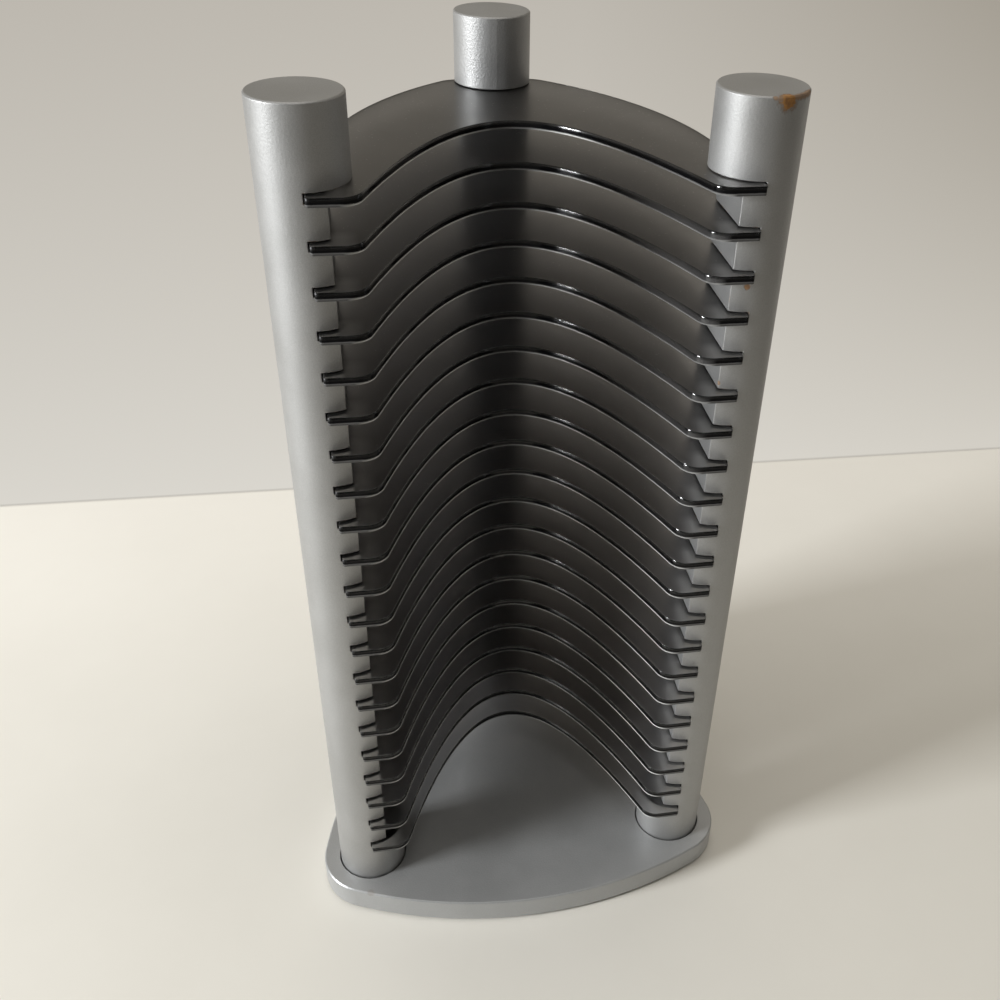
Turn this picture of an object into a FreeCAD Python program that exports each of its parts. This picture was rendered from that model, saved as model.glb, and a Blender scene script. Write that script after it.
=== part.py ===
"""Disc case tower: three slotted posts on a base plate carry a stack of dark crescent shelves.

Millimetres. X runs to the right, Y to the back and Z up. The origin is on the floor, in the middle
of the base plate.
"""
import FreeCAD, Part
import os

# Posts
post_diameter = 30.0
post_depth = 113.5  # from the front axes back to the rear axis
post_head = 26.5  # plain length above the highest shelf
post_edge_chamfer = 0.5
flat_offset = 7.0  # from a post's axis to its flat
case_bay_width = 131.0  # between the flats on the front posts

# Base plate
base_thickness = 12.0
base_rim = 7.8  # width left around the outside of each post
base_front_bulge = 15.5  # how far the front edge bows out past its corners
base_side_bulge = 13.0  # the same for the two side edges
base_edge_chamfer = 0.6
socket_depth = 8.0
socket_gap = 0.6  # the dark ring around each post

# Shelves
shelf_count = 21
shelf_thickness = 3.0
shelf_pitch = 15.0
lowest_shelf_rise = 25.0  # top face of the lowest shelf above the base plate
tab_overhang = 3.2  # how far the tabs stand out in front of the front posts
tab_width = 15.4  # from a tab's end to the mouth of the arch
tab_corner_radius = 1.0
arch_depth = 76.7
arch_mouth_radius = 7.5
shoulder_overhang = 4.0  # straight end's run behind each front post
shoulder_inset = 3.5  # how far the ends draw in from the tabs to the shoulders
rear_end_overhang = 2.5  # straight rear run beside the rear post
rear_corner_radius = 10.0
shelf_side_bulge = 11.8

# Saw cuts in the posts, which reach the axis in the front ones
rear_slot_reach = 3.5  # how far the rear post's cuts run past its axis
slot_head_gap = 0.4  # above each shelf
slot_end_gap = 0.5  # behind each shelf's end

# Screws through the base into the posts
screw_diameter = 4.0
screw_head_diameter = 8.0
screw_head_height = 2.2
screw_length = 35.0
screw_tip_length = 5.0
screw_recess = 0.2
screw_gap = 0.15

# Felt pads
pad_diameter = 20.0
pad_thickness = 1.0

# Past the surface, for every cut
cut_overrun = 1.0

# Sizes and places that follow from those above
post_radius = post_diameter / 2
post_spacing = case_bay_width + 2 * flat_offset
corner_radius = post_radius + base_rim
base_front_reach = corner_radius + base_front_bulge
front_y = base_front_reach - (base_front_reach + post_depth + corner_radius) / 2
rear_y = front_y + post_depth
base_top = pad_thickness + base_thickness
socket_floor = base_top - socket_depth
screw_foot = pad_thickness + screw_recess
lowest_shelf = base_top + lowest_shelf_rise - shelf_thickness
shelf_floors = [lowest_shelf + row * shelf_pitch for row in range(shelf_count)]
post_top = shelf_floors[-1] + shelf_thickness + post_head
slot_height = shelf_thickness + slot_head_gap

UP = FreeCAD.Vector(0, 0, 1)
ORIGIN = FreeCAD.Vector(0, 0, 0)

# Where each post stands, the turn that faces its flat to the bay, and its cuts' reach past the axis
post_places = {
    "post_left": (FreeCAD.Vector(-post_spacing / 2, front_y, 0), 0, 0),
    "post_right": (FreeCAD.Vector(post_spacing / 2, front_y, 0), 180, 0),
    "post_rear": (FreeCAD.Vector(0, rear_y, 0), -90, rear_slot_reach),
}
post_axes = [axis for axis, turn, reach in post_places.values()]


def line(start, end):
    return Part.LineSegment(start, end).toShape()


def arc(start, middle, end):
    return Part.Arc(start, middle, end).toShape()


def outward(start, end):
    """Unit vector to the right of the way from start to end: out of a loop drawn anticlockwise."""
    along = end - start
    return FreeCAD.Vector(along.y, -along.x, 0).normalize()


def step(start, direction, distance):
    return start + FreeCAD.Vector(direction).multiply(distance)


def slab(edges, floor, height):
    """Plate with the outline given by the edges, standing on the height called floor."""
    plate = Part.Face(Part.Wire(edges)).extrude(UP * height)
    plate.translate(UP * floor)
    return plate


def is_upright(direction):
    return direction.cross(UP).Length < Part.Precision.confusion()


def upright_edges(solid, corners):
    """The solid's upright edges that stand on the given plan corners."""
    found = []
    for edge in solid.Edges:
        start, end = edge.firstVertex().Point, edge.lastVertex().Point
        foot = FreeCAD.Vector(start.x, start.y, 0)
        if is_upright(end - start) and any(foot.isEqual(at, Part.Precision.confusion()) for at in corners):
            found.append(edge)
    return found


def bowed_edge(start, end, bulge):
    """Touch point, crown and touch point of an arc that runs smoothly into the corners at start and end."""
    half = (end - start).Length / 2
    out = outward(start, end)
    middle = (start + end) / 2
    centre = step(middle, out, -(half ** 2 - bulge ** 2) / (2 * bulge))
    touches = [step(corner, (corner - centre).normalize(), corner_radius) for corner in (start, end)]
    return touches[0], step(middle, out, corner_radius + bulge), touches[1]


def base_outline():
    corners = post_axes
    bulges = [base_front_bulge, base_side_bulge, base_side_bulge]
    sides = [bowed_edge(corners[i], corners[(i + 1) % len(corners)], bulges[i]) for i in range(len(corners))]
    edges = []
    for i, (touch, crown, next_touch) in enumerate(sides):
        edges.append(arc(touch, crown, next_touch))
        corner = corners[(i + 1) % len(corners)]
        after = sides[(i + 1) % len(sides)][0]
        out = ((next_touch - corner) + (after - corner)).normalize()
        edges.append(arc(next_touch, step(corner, out, corner_radius), after))
    return edges


def screw_body(gap):
    """Countersunk screw standing on its head, or with a gap the hole that takes it."""
    shank = screw_diameter / 2 + gap
    head = screw_head_diameter / 2 + gap
    foot = -(screw_recess + cut_overrun) if gap else 0
    profile = [(0, foot), (head, foot)]
    if gap:
        profile.append((head, 0))
    profile += [
        (shank, screw_head_height),
        (shank, screw_length - screw_tip_length),
        (0, screw_length + gap),
        (0, foot),
    ]
    outline = Part.makePolygon([FreeCAD.Vector(radius, 0, height) for radius, height in profile])
    screw = Part.Face(outline).revolve(ORIGIN, UP, 360)
    screw.translate(UP * screw_foot)
    return screw


def at_posts(shape):
    """Copies of a shape, one on each post's axis."""
    copies = []
    for axis in post_axes:
        copy = shape.copy()
        copy.translate(axis)
        copies.append(copy)
    return copies


def base_plate():
    plate = slab(base_outline(), pad_thickness, base_thickness)
    rims = [edge for face in plate.Faces if is_upright(face.normalAt(0, 0)) for edge in face.Edges]
    plate = plate.makeChamfer(base_edge_chamfer, rims)
    socket = Part.makeCylinder(post_radius + socket_gap, socket_depth + cut_overrun, UP * socket_floor)
    return plate.cut(at_posts(socket) + at_posts(screw_body(screw_gap)))


def post(slot_reach):
    """Post on the Z axis, with its flat and saw cuts on the +X side."""
    body = Part.makeCylinder(post_radius, post_top - socket_floor, UP * socket_floor)
    top_rim = [edge for edge in body.Edges if edge.Closed and edge.CenterOfMass.z > base_top]
    body = body.makeChamfer(post_edge_chamfer, top_rim)
    width = post_diameter + 2 * cut_overrun
    cuts = [screw_body(screw_gap)]
    flat_height = shelf_floors[-1] + slot_height - shelf_floors[0]
    flat_corner = FreeCAD.Vector(flat_offset, -width / 2, shelf_floors[0])
    cuts.append(Part.makeBox(width, width, flat_height, flat_corner))
    for floor in shelf_floors:
        cuts.append(Part.makeBox(width, width, slot_height, FreeCAD.Vector(-slot_reach, -width / 2, floor)))
    return body.cut(cuts)


def shelf_plate():
    """Crescent sheet at the floor's height, with its tabs, arch and straight ends at the three posts."""
    side = post_spacing / 2 - slot_end_gap
    tab_y = front_y - post_radius - tab_overhang
    shoulder_y = front_y + post_radius + shoulder_overhang
    rear_end = rear_y + rear_slot_reach - slot_end_gap
    rear_half = post_radius + rear_end_overhang
    mouth = side - tab_width

    tabs = [FreeCAD.Vector(sign * side, tab_y, 0) for sign in (-1, 1)]
    mouths = [FreeCAD.Vector(sign * mouth, tab_y, 0) for sign in (-1, 1)]
    shoulders = [FreeCAD.Vector(sign * (side - shoulder_inset), shoulder_y, 0) for sign in (-1, 1)]
    rears = [FreeCAD.Vector(sign * rear_half, rear_end, 0) for sign in (-1, 1)]

    arch = Part.BezierCurve()
    arch.setPoles([mouths[0], FreeCAD.Vector(0, tab_y + 2 * arch_depth, 0), mouths[1]])

    def bowed_side(start, end):
        return arc(start, step((start + end) / 2, outward(start, end), shelf_side_bulge), end)

    plate = slab(
        [
            line(tabs[0], mouths[0]),
            arch.toShape(),
            line(mouths[1], tabs[1]),
            line(tabs[1], shoulders[1]),
            bowed_side(shoulders[1], rears[1]),
            line(rears[1], rears[0]),
            bowed_side(rears[0], shoulders[0]),
            line(shoulders[0], tabs[0]),
        ],
        0,
        shelf_thickness,
    )
    for corners, radius in (
        (mouths, arch_mouth_radius),
        (tabs, tab_corner_radius),
        (rears, rear_corner_radius),
    ):
        plate = plate.makeFillet(radius, upright_edges(plate, corners))
    return plate


def felt_pad():
    return Part.makeCylinder(pad_diameter / 2, pad_thickness)


def build():
    """Every node's shape by name."""
    nodes = {"base_plate": base_plate()}
    for name, (axis, turn, slot_reach) in post_places.items():
        nodes[name] = post(slot_reach)
        nodes[name].rotate(ORIGIN, UP, turn)
        nodes[name].translate(axis)
    sheet = shelf_plate()
    for row, floor in enumerate(shelf_floors, start=1):
        nodes[f"shelf_{row:02d}"] = sheet.copy()
        nodes[f"shelf_{row:02d}"].translate(UP * floor)
    nodes["post_screws"] = Part.makeCompound(at_posts(screw_body(0)))
    nodes["felt_pads"] = Part.makeCompound(at_posts(felt_pad()))
    return nodes


os.makedirs("parts", exist_ok=True)
for node, shape in build().items():
    shape.exportStep(f"parts/{node}.step")
    print(node, len(shape.Solids), shape.isValid(), round(shape.Volume, 1))
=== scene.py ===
"""Looks of a disc case tower: silver painted posts and base, smoke grey shelves with polished rims.

Metres, in the frame of the solids: X to the right, Y to the back, Z up, origin on the floor.
"""

import math

import bpy
from mathutils import Matrix, Vector


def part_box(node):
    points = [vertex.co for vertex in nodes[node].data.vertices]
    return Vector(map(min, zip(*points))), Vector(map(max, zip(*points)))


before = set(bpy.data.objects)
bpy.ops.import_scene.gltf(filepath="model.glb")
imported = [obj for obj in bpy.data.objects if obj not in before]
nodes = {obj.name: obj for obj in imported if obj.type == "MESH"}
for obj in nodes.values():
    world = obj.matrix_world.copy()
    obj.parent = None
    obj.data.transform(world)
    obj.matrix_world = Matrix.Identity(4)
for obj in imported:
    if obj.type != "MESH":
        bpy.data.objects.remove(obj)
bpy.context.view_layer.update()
scene = bpy.context.scene

FRONT_POSTS = ("post_left", "post_right")
SHELVES = tuple(sorted(name for name in nodes if name.startswith("shelf_")))

# Heights that the shelves' looks follow
LOWEST_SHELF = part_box("shelf_01")[0][2]
SHELF_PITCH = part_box("shelf_02")[0][2] - LOWEST_SHELF

# Rounding of the edges of paint and plastic, in their normals only
EDGE_RADIUS = 0.0005
EDGE_SAMPLES = 6

# The run that most values of a noise lie in
NOISE_RUN = (0.3, 0.7)

# A ragged spot's limits in radii, with the raggedness added: where it ends, and where it is full
SPOT_LIMITS = (1.55, 1.15)

# The Mix node's sockets by number: two inputs and the output, for vectors and for colours
VECTOR_SOCKETS = (4, 5, 1)
COLOUR_SOCKETS = (6, 7, 2)


# Node trees

def add(tree, kind, inputs=None, **settings):
    """A new node. An input is a value, or another node's output socket to link."""
    made = tree.nodes.new(kind)
    for key, value in settings.items():
        setattr(made, key, value)
    for key, value in (inputs or {}).items():
        if isinstance(value, bpy.types.NodeSocket):
            tree.links.new(value, made.inputs[key])
        else:
            made.inputs[key].default_value = value
    return made


def new_material(name):
    material = bpy.data.materials.new(name)
    material.use_nodes = True
    material.node_tree.nodes.clear()
    return material, material.node_tree


def finish_material(tree, shader):
    add(tree, "ShaderNodeOutputMaterial", {"Surface": shader.outputs[0]})


def object_place(tree):
    return add(tree, "ShaderNodeTexCoord").outputs["Object"]


def math_node(tree, operation, a, b=0.0):
    return add(tree, "ShaderNodeMath", {0: a, 1: b}, operation=operation).outputs[0]


def times(tree, a, b):
    return math_node(tree, "MULTIPLY", a, b)


def plus(tree, a, b):
    return math_node(tree, "ADD", a, b)


def minus(tree, a, b):
    return math_node(tree, "SUBTRACT", a, b)


def rest_of(tree, share):
    return minus(tree, 1.0, share)


def absolute(tree, value):
    return math_node(tree, "ABSOLUTE", value)


def largest(tree, first, *others):
    for other in others:
        first = math_node(tree, "MAXIMUM", first, other)
    return first


def vector_node(tree, operation, *vectors):
    return add(tree, "ShaderNodeVectorMath", dict(enumerate(vectors)), operation=operation).outputs


def split(tree, vector):
    return add(tree, "ShaderNodeSeparateXYZ", {0: vector}).outputs


def noise(tree, where, scale, detail, roughness):
    inputs = {"Vector": where, "Scale": scale, "Detail": detail, "Roughness": roughness}
    return add(tree, "ShaderNodeTexNoise", inputs).outputs["Fac"]


def spread(tree, value, low, high, to_low=0.0, to_high=1.0, smooth=False):
    """The value's run from low to high, taken to another run and held at its ends."""
    inputs = {"Value": value, "From Min": low, "From Max": high, "To Min": to_low, "To Max": to_high}
    made = add(tree, "ShaderNodeMapRange", inputs, interpolation_type="SMOOTHSTEP" if smooth else "LINEAR")
    return made.outputs["Result"]


def between(tree, share, a, b):
    """Number a where the share is 0 and b where it is 1."""
    return spread(tree, share, 0.0, 1.0, a, b)


def blend(tree, share, a, b):
    """Colour a where the share is 0 and b where it is 1. A colour is three numbers or a socket."""
    first, second, mixed = COLOUR_SOCKETS
    inputs = {0: share}
    for socket, value in ((first, a), (second, b)):
        inputs[socket] = value if isinstance(value, bpy.types.NodeSocket) else (*value, 1.0)
    return add(tree, "ShaderNodeMix", inputs, data_type="RGBA").outputs[mixed]


def blend_vectors(tree, share, a, b):
    first, second, mixed = VECTOR_SOCKETS
    return add(tree, "ShaderNodeMix", {0: share, first: a, second: b}, data_type="VECTOR").outputs[mixed]


def bump(tree, strength, distance, height, over=None):
    """The normal of a relief, over another normal where one is given."""
    inputs = {"Strength": strength, "Distance": distance, "Height": height}
    if over is not None:
        inputs["Normal"] = over
    return add(tree, "ShaderNodeBump", inputs).outputs["Normal"]


def edge_share(tree):
    """Near 0 on open surfaces, rising towards the edges of the piece, and the normal that rounds them."""
    rounded = add(tree, "ShaderNodeBevel", {"Radius": EDGE_RADIUS}, samples=EDGE_SAMPLES).outputs["Normal"]
    flat = add(tree, "ShaderNodeNewGeometry").outputs["True Normal"]
    return rest_of(tree, vector_node(tree, "DOT_PRODUCT", rounded, flat)["Value"]), rounded


def spot(tree, where, centre, radius, ragged):
    """A patch around a point, with a ragged outline: 1 inside and 0 outside."""
    reach = vector_node(tree, "DISTANCE", where, centre)["Value"]
    torn = plus(tree, reach, times(tree, ragged, radius))
    end, full = SPOT_LIMITS
    return spread(tree, torn, radius * end, radius * full)


def dress(names, material):
    for name in names:
        slots = nodes[name].data.materials
        slots.clear()
        slots.append(material)


# Silver paint

# Noises: scale, detail and roughness
FLAKE = (3600.0, 1.0, 0.5)
PEEL = (1300.0, 2.0, 0.55)
CLOUD = (30.0, 3.0, 0.6)
RAGGED = (650.0, 3.0, 0.6)
CHIPPING = (240.0, 3.0, 0.5)

# Flake and cloud in the paint's tone
FLAKE_IN_TONE = 0.55
CLOUD_IN_TONE = 0.45
TONE_RUN = (0.32, 0.68)

# Painted light on the paint: paler towards the back, and the run of Y over which it sets in
BACK_LIGHT_START = (0.0, 0.04)
PAINTED_BACK_LIGHT_TONE = (0.75, 0.74, 0.72)

# Rubbed and chipped edges: runs of the edge's share and of the noise that breaks it up
RUBBED_EDGE = (0.02, 0.16)
RUBBED_PATCHES = (0.36, 0.62)
RUBBED_SHARE = 0.5
RUBBED_SILVER = (0.66, 0.65, 0.62)
CHIPPED_EDGE = (0.06, 0.2)
CHIPPED_PATCHES = (0.60, 0.66)

# Wood in the chips, duller where some paint is left on it
WOOD_RUN = (0.35, 0.65)
DARK_WOOD = (0.26, 0.125, 0.045)
PALE_WOOD = (0.46, 0.225, 0.06)
BARE_RUN = (0.6, 1.0)
SMEARED_WOOD = (0.20, 0.14, 0.09)
WOOD_ROUGHNESS = 0.8

# Relief
FLAKE_IN_RELIEF = 0.35
CHIP_IN_RELIEF = 1.5
PEEL_DEPTH = 0.00012


def silver_paint(name, tones, metallic, roughness, peel_strength, dust_and_painted_light=0.0, chips=()):
    """Sprayed silver with flake and a fine orange peel, rubbed and chipped along the edges.

    The share of paler paint at the back is painted light, standing in for light that reaches the base
    there. A chip is a point, a radius and the share of the paint that is gone.
    """
    material, tree = new_material(name)
    where = object_place(tree)
    flake = noise(tree, where, *FLAKE)
    peel = noise(tree, where, *PEEL)
    cloud = noise(tree, where, *CLOUD)
    ragged = noise(tree, where, *RAGGED)
    edge, rounded = edge_share(tree)

    tone = plus(tree, times(tree, flake, FLAKE_IN_TONE), times(tree, cloud, CLOUD_IN_TONE))
    colour = blend(tree, spread(tree, tone, *TONE_RUN), *tones)
    # Painted light: the paint grows paler towards the back
    painted_back_light = times(tree, spread(tree, split(tree, where)["Y"], *BACK_LIGHT_START), dust_and_painted_light)
    colour = blend(tree, painted_back_light, colour, PAINTED_BACK_LIGHT_TONE)
    rubbed = times(tree, spread(tree, edge, *RUBBED_EDGE), spread(tree, ragged, *RUBBED_PATCHES))
    colour = blend(tree, times(tree, rubbed, RUBBED_SHARE), colour, RUBBED_SILVER)

    patches = spread(tree, noise(tree, where, *CHIPPING), *CHIPPED_PATCHES)
    bare = times(tree, spread(tree, edge, *CHIPPED_EDGE), patches)
    for centre, radius, share in chips:
        bare = largest(tree, bare, times(tree, spot(tree, where, centre, radius, ragged), share))
    wood = blend(tree, spread(tree, ragged, *WOOD_RUN), DARK_WOOD, PALE_WOOD)
    wood = blend(tree, spread(tree, bare, *BARE_RUN), SMEARED_WOOD, wood)
    colour = blend(tree, bare, colour, wood)

    gloss = spread(tree, cloud, *NOISE_RUN, *roughness)
    gloss = largest(tree, gloss, times(tree, bare, WOOD_ROUGHNESS))
    relief = plus(tree, peel, times(tree, flake, FLAKE_IN_RELIEF))
    relief = minus(tree, relief, times(tree, bare, CHIP_IN_RELIEF))
    finish_material(tree, add(tree, "ShaderNodeBsdfPrincipled", {
        "Base Color": colour,
        "Metallic": times(tree, rest_of(tree, bare), metallic),
        "Roughness": gloss,
        "Normal": bump(tree, peel_strength, PEEL_DEPTH, relief, over=rounded),
    }))
    return material


POST_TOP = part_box("post_right")[1][2]
RIGHT_POST = (Vector(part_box("post_right")[0]) + Vector(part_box("post_right")[1])) / 2
POST_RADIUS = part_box("post_right")[1][0] - RIGHT_POST.x


def on_post(turn, drop):
    """A point on the right post's round side: degrees round from its right, and metres below its top."""
    angle = math.radians(turn)
    across = RIGHT_POST.x + POST_RADIUS * math.cos(angle)
    back = RIGHT_POST.y + POST_RADIUS * math.sin(angle)
    return across, back, POST_TOP - drop


# Chips on the right post: three on its top rim, two at its cuts, and a row that makes a strip of the rim
POST_CHIPS = [
    (on_post(-77.0, 0.0013), 0.0038, 1.0),
    (on_post(-86.0, 0.0003), 0.0016, 0.8),
    (on_post(-94.0, 0.0002), 0.0011, 0.8),
    (on_post(-97.3, 0.0619), 0.0013, 0.9),
    (on_post(-118.3, 0.0991), 0.0011, 0.8),
]
POST_CHIPS += [(on_post(turn, 0.0002), 0.0017, 0.8) for turn in range(-68, -28, 5)]
PLATE_CHIPS = [((-0.0744, -0.0725, 0.0130), 0.0020, 0.3)]

POST_FINISH = {
    "tones": ((0.365, 0.365, 0.36), (0.478, 0.478, 0.473)),
    "metallic": 0.81,
    "roughness": (0.49, 0.57),
}
BASE_FINISH = {
    "tones": ((0.367, 0.373, 0.375), (0.471, 0.477, 0.479)),
    "metallic": 0.45,
    "roughness": (0.34, 0.42),
}
dress(FRONT_POSTS, silver_paint("silver_paint_front", **POST_FINISH, peel_strength=0.42, chips=POST_CHIPS))
dress(("post_rear",), silver_paint("silver_paint_rear", **POST_FINISH, peel_strength=0.85))
# The base's paint is paler at the back as painted light
dress(("base_plate",), silver_paint(
    "silver_paint_base", **BASE_FINISH, peel_strength=0.7, dust_and_painted_light=0.35, chips=PLATE_CHIPS))


# Smoke grey sheets

# Noises: scale, detail and roughness
HAZE = (55.0, 4.0, 0.62)
SMEAR = (1.0, 3.0, 0.6)
GRAIN = (2600.0, 2.0, 0.5)
SPECKS = (1150.0, 1.0, 0.5)
UNEVEN = (210.0, 3.0, 0.6)

# Scales of the smears along X, Y and Z: they are longest along Y
SMEAR_SCALES = (40.0, 14.0, 40.0)

# Runs of the true normal's height that tell the top face and the sides
TOP_FACE = (0.5, 0.9)
SIDE_FACE = (0.6, 0.3)

# Zones: the tabs by their distance from the middle and by Y, the arch's right arm by X, and the shelves by
# their height above the lowest one
TAB_START = (0.057, 0.062)
TAB_FRONT = (-0.055, -0.060)
RIGHT_ARM = (0.024, 0.042)
CLEAR_ARM = (0.034, 0.050)
UPPER_SHELVES = (0.16, 0.27)
BELOW_TOP_SHELF = (0.296, 0.292)

# Plastic, seen face on and at a slant, and a paler tint on the tabs' fronts that is painted light, lifting
# the shade of the posts' slots
EVEN_BLEND = 0.5
SLANT_RUN = (0.2, 0.72)
SMOKE_FACE_ON = (0.455, 0.446, 0.446)
SMOKE_AT_SLANT = (0.12, 0.115, 0.112)
TAB_PAINTED_LIGHT_TINT = (0.80, 0.79, 0.78)
TAB_PAINTED_LIGHT_SHARE = 0.7
PLASTIC_IOR = 1.49

# Bands of the rim by height above the sheet's underside. Each pair of shares is for most of the rim, and
# for the right arm of the upper shelves, where the rim is clearer
SMOKED_BAND = (0.0029, 0.0021)
SMOKED_AT_UPPER_EDGE = (0.7, 0.1)
SMOKED_SHARES = (1.0, 0.75)
BLACK_BAND = (0.0025, 0.0016)
BLACK_SHARES = (1.0, 0.4)
RIM_BLACK = (0.004, 0.004, 0.0045)

# Rounded upper edge of the rim: how far the normal leans up there
ROUNDED_BAND = (0.0018, 0.0030)
ROUNDED_LEAN = 0.6

# Sawn strip at the rim's foot, a paler frosted edge partly brightened as painted glow: its height along the
# arch and on the tabs, and its tones
SAWN_HEIGHTS = (0.0006, 0.0009)
SAWN_WOBBLE = 0.0003
SAWN_FADE = (0.0002, -0.0002)
# Painted shadow of the rear post: the strip is darker in the middle
SAWN_SHADOW_RUN = (0.006, 0.020)
SAWN_MIDDLE_SHADOW = (0.11, 0.11, 0.11)
# Painted glow: the strip along the arch is brightened as if lit through the sheet
SAWN_ARCH_GLOW = (0.72, 0.72, 0.70)
# Painted shade: the strip is dimmer on the right arm of the upper shelves
SAWN_SHADE_LEVELS = (0.06, 0.24)
SAWN_RIGHT_SHADE = (0.15, 0.15, 0.147)
# Dark strip without the painted glow, on the tabs and on rims that face back
FACING_BACK = (-0.1, 0.1)
SAWN_WITHOUT_GLOW = (0.07, 0.069, 0.068)

# Dust: a film that is thicker on the right, and specks
HAZE_IN_FILM = 0.6
SMEAR_IN_FILM = 0.4
FILM_RUN = (0.35, 0.65)
FILM_SIDE = (0.026, 0.054)
THINNEST_FILM = 0.003
THICKEST_FILM = (0.015, 0.16)
SPECK_RUN = (0.735, 0.765)
SPECK_TONE = (0.55, 0.54, 0.52)
SPECK_SOLID = 0.2

# Scuffs along the top face's edges
SCUFFED_EDGE = (0.05, 0.2)
SCUFFED_PATCHES = (0.50, 0.62)
SCUFF_SOLID = 0.35

# Roughness, with polish on the rims and wear on the left tabs' ends
SHEET_ROUGHNESS = (0.285, 0.335)
RIM_POLISH = 0.20
SAWN_ROUGHNESS = 0.34
WORN_END = (-0.0698, -0.0708)
WORN_ROUGHNESS = 0.45
CLEAR_SPECULAR = 0.5
BLACK_SPECULAR = 0.1
GRAIN_STRENGTH = 0.12
GRAIN_DEPTH = 0.00002


def dark_sheet(name):
    """Smoke grey plastic, darker at a slant and lightly dusty, with black rims and sawn lower edges that
    carry painted glow and painted shade, and tabs made paler by painted light.
    """
    material, tree = new_material(name)
    where = object_place(tree)
    place = split(tree, where)
    across = absolute(tree, place["X"])
    level = minus(tree, place["Z"], LOWEST_SHELF)
    rise = times(tree, math_node(tree, "FRACT", math_node(tree, "DIVIDE", level, SHELF_PITCH)), SHELF_PITCH)
    geometry = add(tree, "ShaderNodeNewGeometry").outputs
    normal = split(tree, geometry["True Normal"])
    top = spread(tree, normal["Z"], *TOP_FACE)
    side = spread(tree, absolute(tree, normal["Z"]), *SIDE_FACE)
    edge, rounded = edge_share(tree)

    haze = noise(tree, where, *HAZE)
    smear = noise(tree, vector_node(tree, "MULTIPLY", where, SMEAR_SCALES)["Vector"], *SMEAR)
    uneven = noise(tree, where, *UNEVEN)
    dust_and_painted_light = plus(tree, times(tree, haze, HAZE_IN_FILM), times(tree, smear, SMEAR_IN_FILM))
    film = spread(tree, dust_and_painted_light, *FILM_RUN)
    specks = times(tree, top, spread(tree, noise(tree, where, *SPECKS), *SPECK_RUN))
    scuffed = times(tree, top, spread(tree, edge, *SCUFFED_EDGE))
    scuffed = times(tree, scuffed, spread(tree, uneven, *SCUFFED_PATCHES))

    # Zones, and the rim's two parts
    at_tab = spread(tree, across, *TAB_START)
    on_arch = rest_of(tree, at_tab)
    right_arm = times(tree, spread(tree, place["X"], *RIGHT_ARM), on_arch)
    upper = times(tree, spread(tree, level, *UPPER_SHELVES), spread(tree, level, *BELOW_TOP_SHELF))
    clear = times(tree, times(tree, spread(tree, place["X"], *CLEAR_ARM), on_arch), upper)
    sawn_height = between(tree, at_tab, *SAWN_HEIGHTS)
    above_strip = minus(tree, plus(tree, rise, times(tree, uneven, SAWN_WOBBLE)), sawn_height)
    sawn = times(tree, side, spread(tree, above_strip, *SAWN_FADE))
    rim = minus(tree, side, sawn)

    # Colour
    slant = add(tree, "ShaderNodeLayerWeight", {"Blend": EVEN_BLEND}).outputs["Facing"]
    colour = blend(tree, spread(tree, slant, *SLANT_RUN), SMOKE_FACE_ON, SMOKE_AT_SLANT)
    # Painted light: a paler tint on the tabs' fronts, which lifts the shade of the posts' slots
    painted_light_on_tabs = times(tree, at_tab, spread(tree, place["Y"], *TAB_FRONT))
    colour = blend(tree, times(tree, painted_light_on_tabs, TAB_PAINTED_LIGHT_SHARE), colour, TAB_PAINTED_LIGHT_TINT)
    smoked = spread(tree, rise, *SMOKED_BAND, between(tree, clear, *SMOKED_AT_UPPER_EDGE), 1.0)
    smoked = times(tree, times(tree, rim, smoked), between(tree, clear, *SMOKED_SHARES))
    colour = blend(tree, smoked, colour, RIM_BLACK)
    # Tone of the sawn strip, with its painted glow, painted shadow of the rear post and painted shade on
    # the right
    sawn_painted_tone = blend(tree, spread(tree, across, *SAWN_SHADOW_RUN), SAWN_MIDDLE_SHADOW, SAWN_ARCH_GLOW)
    painted_shade_right = times(tree, right_arm, spread(tree, level, *SAWN_SHADE_LEVELS))
    sawn_painted_tone = blend(tree, painted_shade_right, sawn_painted_tone, SAWN_RIGHT_SHADE)
    outer = largest(tree, at_tab, spread(tree, normal["Y"], *FACING_BACK))
    sawn_painted_tone = blend(tree, outer, sawn_painted_tone, SAWN_WITHOUT_GLOW)
    colour = blend(tree, sawn, colour, sawn_painted_tone)
    colour = blend(tree, specks, colour, SPECK_TONE)

    # The share that isn't see-through
    black = times(tree, rim, spread(tree, rise, *BLACK_BAND))
    black = times(tree, black, between(tree, clear, *BLACK_SHARES))
    thickest = spread(tree, place["X"], *FILM_SIDE, *THICKEST_FILM)
    covered = times(tree, top, between(tree, film, THINNEST_FILM, thickest))
    specked = times(tree, specks, SPECK_SOLID)
    solid = largest(tree, covered, specked, times(tree, scuffed, SCUFF_SOLID), sawn, black)

    gloss = spread(tree, haze, *NOISE_RUN, *SHEET_ROUGHNESS)
    gloss = minus(tree, gloss, times(tree, rim, RIM_POLISH))
    worn_end = times(tree, side, spread(tree, place["X"], *WORN_END))
    gloss = largest(tree, gloss, times(tree, sawn, SAWN_ROUGHNESS), times(tree, worn_end, WORN_ROUGHNESS))

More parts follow.
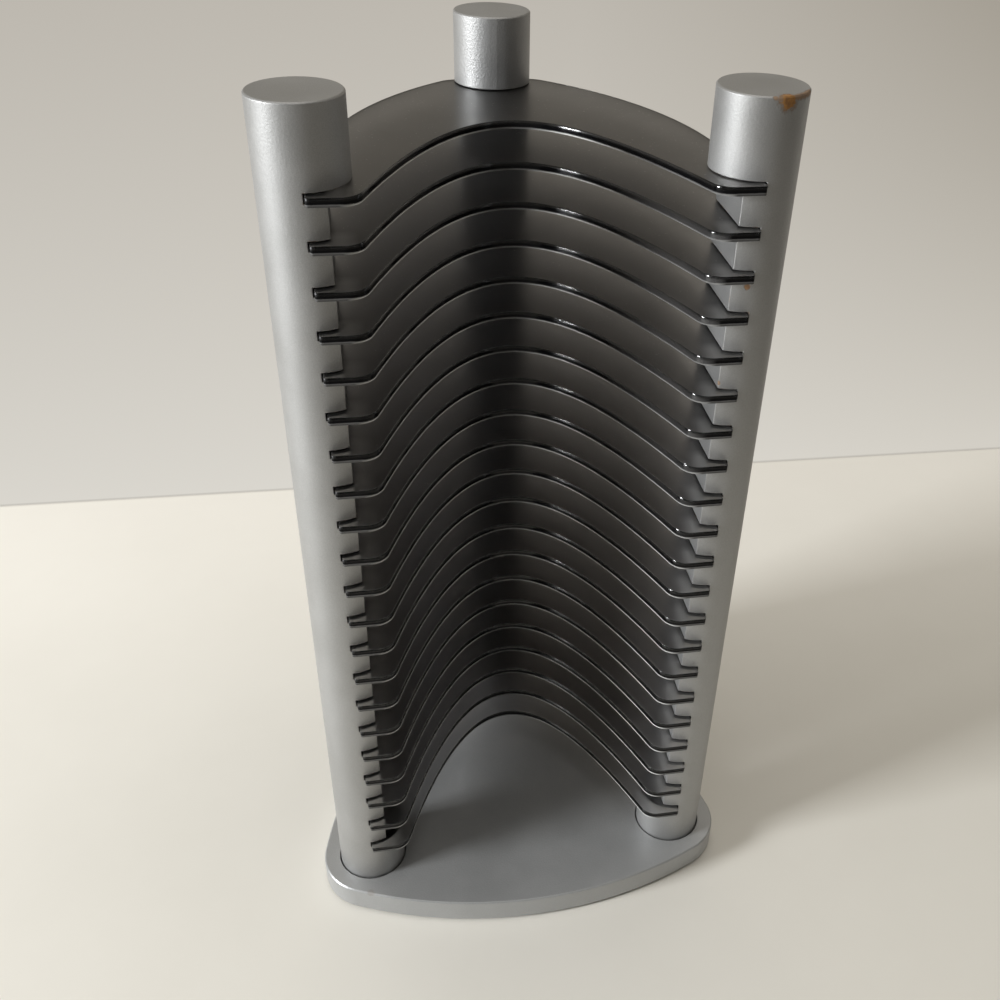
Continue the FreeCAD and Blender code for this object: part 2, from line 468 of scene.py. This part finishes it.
    lean = times(tree, side, spread(tree, rise, *ROUNDED_BAND, 0.0, ROUNDED_LEAN))
    upward = add(tree, "ShaderNodeCombineXYZ", {"Z": lean}).outputs[0]
    leaning = vector_node(tree, "ADD", geometry["Normal"], upward)["Vector"]
    polished = vector_node(tree, "NORMALIZE", leaning)["Vector"]
    shape = blend_vectors(tree, side, rounded, polished)
    finish_material(tree, add(tree, "ShaderNodeBsdfPrincipled", {
        "Base Color": colour,
        "Roughness": gloss,
        "IOR": PLASTIC_IOR,
        "Specular IOR Level": between(tree, black, CLEAR_SPECULAR, BLACK_SPECULAR),
        "Transmission Weight": rest_of(tree, solid),
        "Normal": bump(tree, GRAIN_STRENGTH, GRAIN_DEPTH, noise(tree, where, *GRAIN), over=shape),
    }))
    return material


dress(SHELVES, dark_sheet("dark_sheet"))


# Felt pads and steel screws

FIBRE = (2600.0, 4.0, 0.7)
FELT_TONES = ((0.02, 0.02, 0.021), (0.07, 0.07, 0.072))
FELT_ROUGHNESS = 0.95
FIBRE_STRENGTH = 0.6
FIBRE_DEPTH = 0.0003

STEEL_GRAIN = (1800.0, 3.0, 0.6)
STEEL_TONES = ((0.42, 0.41, 0.39), (0.62, 0.61, 0.59))
STEEL_ROUGHNESS = (0.28, 0.45)
STEEL_STRENGTH = 0.3
STEEL_DEPTH = 0.00005


def felt(name):
    material, tree = new_material(name)
    fibre = noise(tree, object_place(tree), *FIBRE)
    finish_material(tree, add(tree, "ShaderNodeBsdfPrincipled", {
        "Base Color": blend(tree, spread(tree, fibre, *NOISE_RUN), *FELT_TONES),
        "Roughness": FELT_ROUGHNESS,
        "Normal": bump(tree, FIBRE_STRENGTH, FIBRE_DEPTH, fibre),
    }))
    return material


def screw_steel(name):
    material, tree = new_material(name)
    grain = noise(tree, object_place(tree), *STEEL_GRAIN)
    finish_material(tree, add(tree, "ShaderNodeBsdfPrincipled", {
        "Base Color": blend(tree, spread(tree, grain, *NOISE_RUN), *STEEL_TONES),
        "Metallic": 1.0,
        "Roughness": spread(tree, grain, *NOISE_RUN, *STEEL_ROUGHNESS),
        "Normal": bump(tree, STEEL_STRENGTH, STEEL_DEPTH, grain),
    }))
    return material


dress(("felt_pads",), felt("felt"))
dress(("post_screws",), screw_steel("screw_steel"))


# Pale floor: a table top around the tower, and the wall's tones behind the table's rear edge

FLOOR_REACH = 3.0
TABLE_CLOUD = (9.0, 4.0, 0.6)
TABLE_TONES = ((0.80, 0.775, 0.71), (0.83, 0.805, 0.74))
TABLE_ROUGHNESS = 0.6

# Far from the tower the table is darker
DARK_FRONT = (-0.30, -0.55)
DARK_RIGHT = (0.42, 0.65)
DARK_TABLE = (0.30, 0.285, 0.26)
DARK_LEFT = (-0.40, -0.85)
DARK_LEFT_TABLE = (0.26, 0.252, 0.231)

# The table's rear edge: its Y at X = 0, its slope, and the thin dark line along it
TABLE_END = 0.287
TABLE_END_SLOPE = 0.018667
TABLE_END_FADE = (-0.0004, 0.0004)
LINE_WIDTH = (0.0022, 0.0006)
LINE_TONE = (0.36, 0.34, 0.31)
LINE_ON_TABLE = 0.6
LINE_ON_WALL = 0.4

# The wall's tones, left and right, fan out from a point on the floor, X and Y
FAN_POINT = (-0.056, -0.394)
FAN_ACROSS = (0.2, 0.7)
FAN_AWAY = (1.468, 0.406)
WALL_NEAR = ((0.70, 0.675, 0.62), (0.65, 0.62, 0.56))
WALL_FAR = ((0.51, 0.48, 0.43), (0.34, 0.31, 0.26))

# Light from the wall on the table
BOUNCE_RUN = (-0.05, 0.29)
BOUNCE_STRENGTH = 0.14
BOUNCE_COLOUR = (1.0, 0.95, 0.87, 1.0)


def floor():
    mesh = bpy.data.meshes.new("floor")
    corners = ((-1, -1), (1, -1), (1, 1), (-1, 1))
    mesh.from_pydata([(x * FLOOR_REACH, y * FLOOR_REACH, 0.0) for x, y in corners], [], [(0, 1, 2, 3)])
    board = bpy.data.objects.new("floor", mesh)
    scene.collection.objects.link(board)
    material, tree = new_material("floor")
    where = object_place(tree)
    place = split(tree, where)

    table = blend(tree, spread(tree, noise(tree, where, *TABLE_CLOUD), *NOISE_RUN), *TABLE_TONES)
    out_front = spread(tree, place["Y"], *DARK_FRONT, smooth=True)
    out_right = spread(tree, place["X"], *DARK_RIGHT, smooth=True)
    table = blend(tree, largest(tree, out_front, out_right), table, DARK_TABLE)
    table = blend(tree, spread(tree, place["X"], *DARK_LEFT, smooth=True), table, DARK_LEFT_TABLE)
    behind = minus(tree, plus(tree, place["Y"], times(tree, place["X"], TABLE_END_SLOPE)), TABLE_END)
    beyond = spread(tree, behind, *TABLE_END_FADE)
    line = spread(tree, absolute(tree, behind), *LINE_WIDTH)
    colour = blend(tree, times(tree, line, LINE_ON_TABLE), table, LINE_TONE)
    ground = add(tree, "ShaderNodeBsdfPrincipled", {"Base Color": colour, "Roughness": TABLE_ROUGHNESS})

    away = math_node(tree, "DIVIDE", 1.0, minus(tree, place["Y"], FAN_POINT[1]))
    across = spread(tree, times(tree, minus(tree, place["X"], FAN_POINT[0]), away), *FAN_ACROSS)
    near = blend(tree, across, *WALL_NEAR)
    far = blend(tree, across, *WALL_FAR)
    wall = blend(tree, spread(tree, away, *FAN_AWAY), near, far)
    wall = blend(tree, times(tree, line, LINE_ON_WALL), wall, LINE_TONE)
    glow = add(tree, "ShaderNodeEmission", {"Color": wall, "Strength": 1.0})
    ray = add(tree, "ShaderNodeLightPath").outputs
    seen = largest(tree, ray["Is Camera Ray"], ray["Is Glossy Ray"], ray["Is Transmission Ray"])
    bounced = times(tree, seen, spread(tree, place["Y"], *BOUNCE_RUN, 0.0, BOUNCE_STRENGTH, smooth=True))
    bounce = add(tree, "ShaderNodeEmission", {"Color": BOUNCE_COLOUR, "Strength": bounced})
    lit = add(tree, "ShaderNodeAddShader", {0: ground.outputs[0], 1: bounce.outputs[0]})
    finish_material(tree, add(tree, "ShaderNodeMixShader", {
        0: times(tree, beyond, seen),
        1: lit.outputs[0],
        2: glow.outputs[0],
    }))
    mesh.materials.append(material)


floor()


# Light

# Tones of the room around the tower
LEFT_TONE = (0.42, 0.41, 0.39)
RIGHT_TONE = (0.12, 0.113, 0.105)
FRONT_TONE = (0.10, 0.096, 0.09)
WALL_FOOT_TONE = (0.55, 0.52, 0.46)
WALL_TOP_TONE = (0.26, 0.235, 0.195)
CEILING_FRONT_TONE = (0.15, 0.145, 0.135)
CEILING_BACK_TONE = (0.35, 0.32, 0.27)
OVERHEAD_TONE = (1.35, 1.30, 1.21)

# Runs of the direction's X, Y or Z over which one tone gives way to the next
LEFT_TO_RIGHT = (-0.8, 0.6)
TO_FRONT = (0.1, -0.5)
UP_THE_WALL = (0.10, 0.22)
TO_WALL = (0.3, 0.7)
ALONG_CEILING = (-0.45, 0.45)
TO_CEILING = (0.35, 0.6)
TO_OVERHEAD = (0.82, 0.95)


def room():
    """A pale wall behind, a ceiling that is lightest overhead, and a dimmer room in front and right."""
    world = bpy.data.worlds.new("room")
    scene.world = world
    world.use_nodes = True
    tree = world.node_tree
    tree.nodes.clear()
    way = split(tree, add(tree, "ShaderNodeTexCoord").outputs["Generated"])
    sides = blend(tree, spread(tree, way["X"], *LEFT_TO_RIGHT), LEFT_TONE, RIGHT_TONE)
    low = blend(tree, spread(tree, way["Y"], *TO_FRONT), sides, FRONT_TONE)
    wall = blend(tree, spread(tree, way["Z"], *UP_THE_WALL), WALL_FOOT_TONE, WALL_TOP_TONE)
    low = blend(tree, spread(tree, way["Y"], *TO_WALL, smooth=True), low, wall)
    ceiling = blend(tree, spread(tree, way["Y"], *ALONG_CEILING), CEILING_FRONT_TONE, CEILING_BACK_TONE)
    colour = blend(tree, spread(tree, way["Z"], *TO_CEILING, smooth=True), low, ceiling)
    colour = blend(tree, spread(tree, way["Z"], *TO_OVERHEAD, smooth=True), colour, OVERHEAD_TONE)
    light = add(tree, "ShaderNodeBackground", {"Color": colour, "Strength": 1.0})
    add(tree, "ShaderNodeOutputWorld", {"Surface": light.outputs[0]})


def area_light(name, place, target, width, height, power, colour):
    data = bpy.data.lights.new(name, "AREA")
    data.shape = "RECTANGLE"
    data.size = width
    data.size_y = height
    data.energy = power
    data.color = colour
    lamp = bpy.data.objects.new(name, data)
    scene.collection.objects.link(lamp)
    lamp.location = place
    lamp.rotation_euler = (Vector(target) - Vector(place)).to_track_quat("-Z", "Y").to_euler()


room()
area_light(
    "window",
    place=(-1.75, -0.455, 0.67),
    target=(0.0, 0.0, 0.17),
    width=0.45,
    height=0.5,
    power=42.0,
    colour=(0.96, 0.98, 1.0),
)


# Camera, at the photograph's place

CAMERA_PLACE = (-0.055925, -0.393717, 0.451860)
CAMERA_YAW = 0.2023286
CAMERA_PITCH = -0.6186337
CAMERA_ROLL = 0.0432252
SENSOR_WIDTH = 36.0
FOCAL_LENGTH_IN_WIDTHS = 1.097802
CAMERA_SHIFT = (-0.065986, 0.018005)
NEAREST_SEEN = 0.01


def camera():
    sine, cosine = math.sin(CAMERA_YAW), math.cos(CAMERA_YAW)
    flat = math.cos(CAMERA_PITCH)
    ahead = Vector((sine * flat, cosine * flat, math.sin(CAMERA_PITCH)))
    level = Vector((cosine, -sine, 0.0))
    above = level.cross(ahead)
    right = level * math.cos(CAMERA_ROLL) + above * math.sin(CAMERA_ROLL)
    up = above * math.cos(CAMERA_ROLL) - level * math.sin(CAMERA_ROLL)
    data = bpy.data.cameras.new("camera")
    data.sensor_width = SENSOR_WIDTH
    data.lens = SENSOR_WIDTH * FOCAL_LENGTH_IN_WIDTHS
    data.shift_x, data.shift_y = CAMERA_SHIFT
    data.clip_start = NEAREST_SEEN
    view = bpy.data.objects.new("camera", data)
    scene.collection.objects.link(view)
    turn = Matrix((right, up, -ahead)).transposed().to_4x4()
    view.matrix_world = Matrix.Translation(CAMERA_PLACE) @ turn
    scene.camera = view


camera()
scene.view_settings.view_transform = "Standard"
